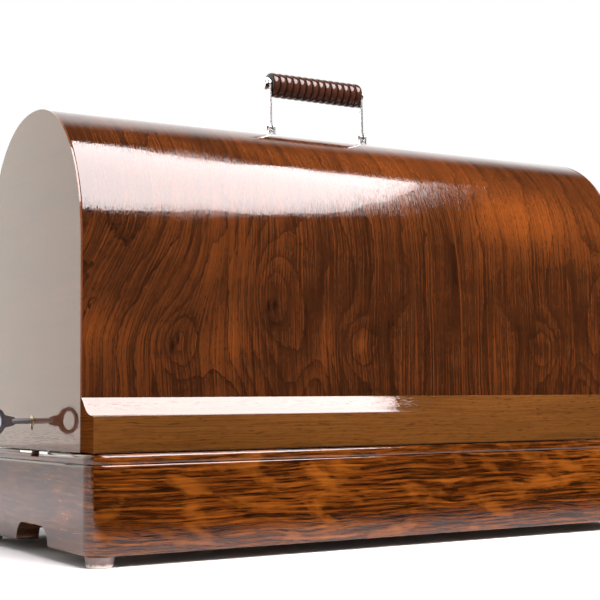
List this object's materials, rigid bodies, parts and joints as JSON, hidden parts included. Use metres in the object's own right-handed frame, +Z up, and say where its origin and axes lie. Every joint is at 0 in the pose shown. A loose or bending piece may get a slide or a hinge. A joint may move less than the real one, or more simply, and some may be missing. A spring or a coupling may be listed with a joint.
{
  "type": "sewing machine cover box",
  "caption": "Bentwood carrying cover with ogee mouldings and a folding handle, hooked at one end and locked at the other to a beaded oak base with hand-holds.",
  "frame": {"origin": "on the floor, midway along the overall length with the key in the lock and midway front to back", "axes": "+X to the right along the case, away from the lock; +Y to the back; +Z up; the front with its moulding faces -Y"},
  "size_m": [0.5544, 0.26, 0.3944],
  "materials": {
    "oak": "varnished quarter-sawn oak",
    "walnut_veneer": "high-gloss figured veneer",
    "walnut": "high-gloss varnished wood",
    "plain_wood": "bare planed wood",
    "nickel": "nickel plate",
    "steel": "worn steel",
    "brass": "aged brass",
    "rubber": "aged pinkish-grey rubber",
    "felt": "green felt",
    "grip": "glossy dark brown turned grip"
  },
  "bodies": {
    "base": {"base_front_board": "oak", "base_back_board": "oak", "base_left_board": "oak", "base_right_board": "oak", "base_floor": "plain_wood", "base_corner_blocks": "plain_wood", "rubber_feet": "rubber", "foot_screws": "steel", "strike_plate": "nickel", "strike_screws": "steel", "keeper_plates": "nickel", "keeper_screws": "steel", "bed_rest_blocks": "plain_wood", "felt_pads": "felt", "compartment_walls": "plain_wood", "compartment_cheeks": "plain_wood", "compartment_pivots": "brass", "bed_hinge_brackets": "steel", "bed_hinge_screws": "steel", "bed_hinge_axles": "nickel"},
    "cover": {"cover_shell": "walnut_veneer", "cover_left_end": "walnut", "cover_right_end": "walnut", "cover_front_moulding": "walnut", "cover_back_moulding": "walnut", "cover_glue_blocks": "plain_wood", "cover_handle_batten": "plain_wood", "cover_tongues": "nickel", "tongue_screws": "steel", "lock_case": "steel", "lock_cap": "steel", "lock_screws": "steel", "keyhole_liner": "brass", "handle_brackets": "nickel", "handle_bracket_screws": "nickel", "handle_pivot_pins": "nickel"},
    "handle": {"handle_arms": "nickel", "handle_rod": "steel", "handle_rod_screws": "nickel", "handle_grip": "grip"},
    "key": {"key": "steel"},
    "lock_bolt": {"lock_bolt": "nickel"},
    "compartment_lid": {"compartment_lid": "plain_wood"},
    "bed_pin_left": {"bed_hinge_pin_left": "nickel"},
    "bed_pin_right": {"bed_hinge_pin_right": "nickel"}
  },
  "joints": [
    {"name": "cover_tilt", "type": "hinge", "parent": "base", "child": "cover", "pos_m": [0.27375, 0, 0.0776], "axis": [0, 1, 0], "range_deg": [0, 35]},
    {"name": "handle_fold", "type": "hinge", "parent": "cover", "child": "handle", "pos_m": [0.01675, 0, 0.3455], "axis": [1, 0, 0], "range_deg": [-87, 97]},
    {"name": "key_turn", "type": "hinge", "parent": "cover", "child": "key", "pos_m": [-0.24025, -0.0035, 0.099], "axis": [-1, 0, 0], "range_deg": [0, 90]},
    {"name": "bolt_slide", "type": "slide", "parent": "cover", "child": "lock_bolt", "axis": [0, -1, 0], "range_m": [0, 0.006]},
    {"name": "compartment_open", "type": "hinge", "parent": "base", "child": "compartment_lid", "pos_m": [0.24275, 0, 0.0678], "axis": [0, 1, 0], "range_deg": [0, 90]},
    {"name": "bed_pin_left_swing", "type": "hinge", "parent": "base", "child": "bed_pin_left", "pos_m": [-0.13025, 0.091, 0.062], "axis": [-1, 0, 0], "range_deg": [0, 90]},
    {"name": "bed_pin_right_swing", "type": "hinge", "parent": "base", "child": "bed_pin_right", "pos_m": [0.05975, 0.091, 0.062], "axis": [-1, 0, 0], "range_deg": [0, 90]}
  ],
  "couplings": [
    {"joint": "bolt_slide", "follows": "key_turn", "m_per_rad": 0.003819}
  ]
}
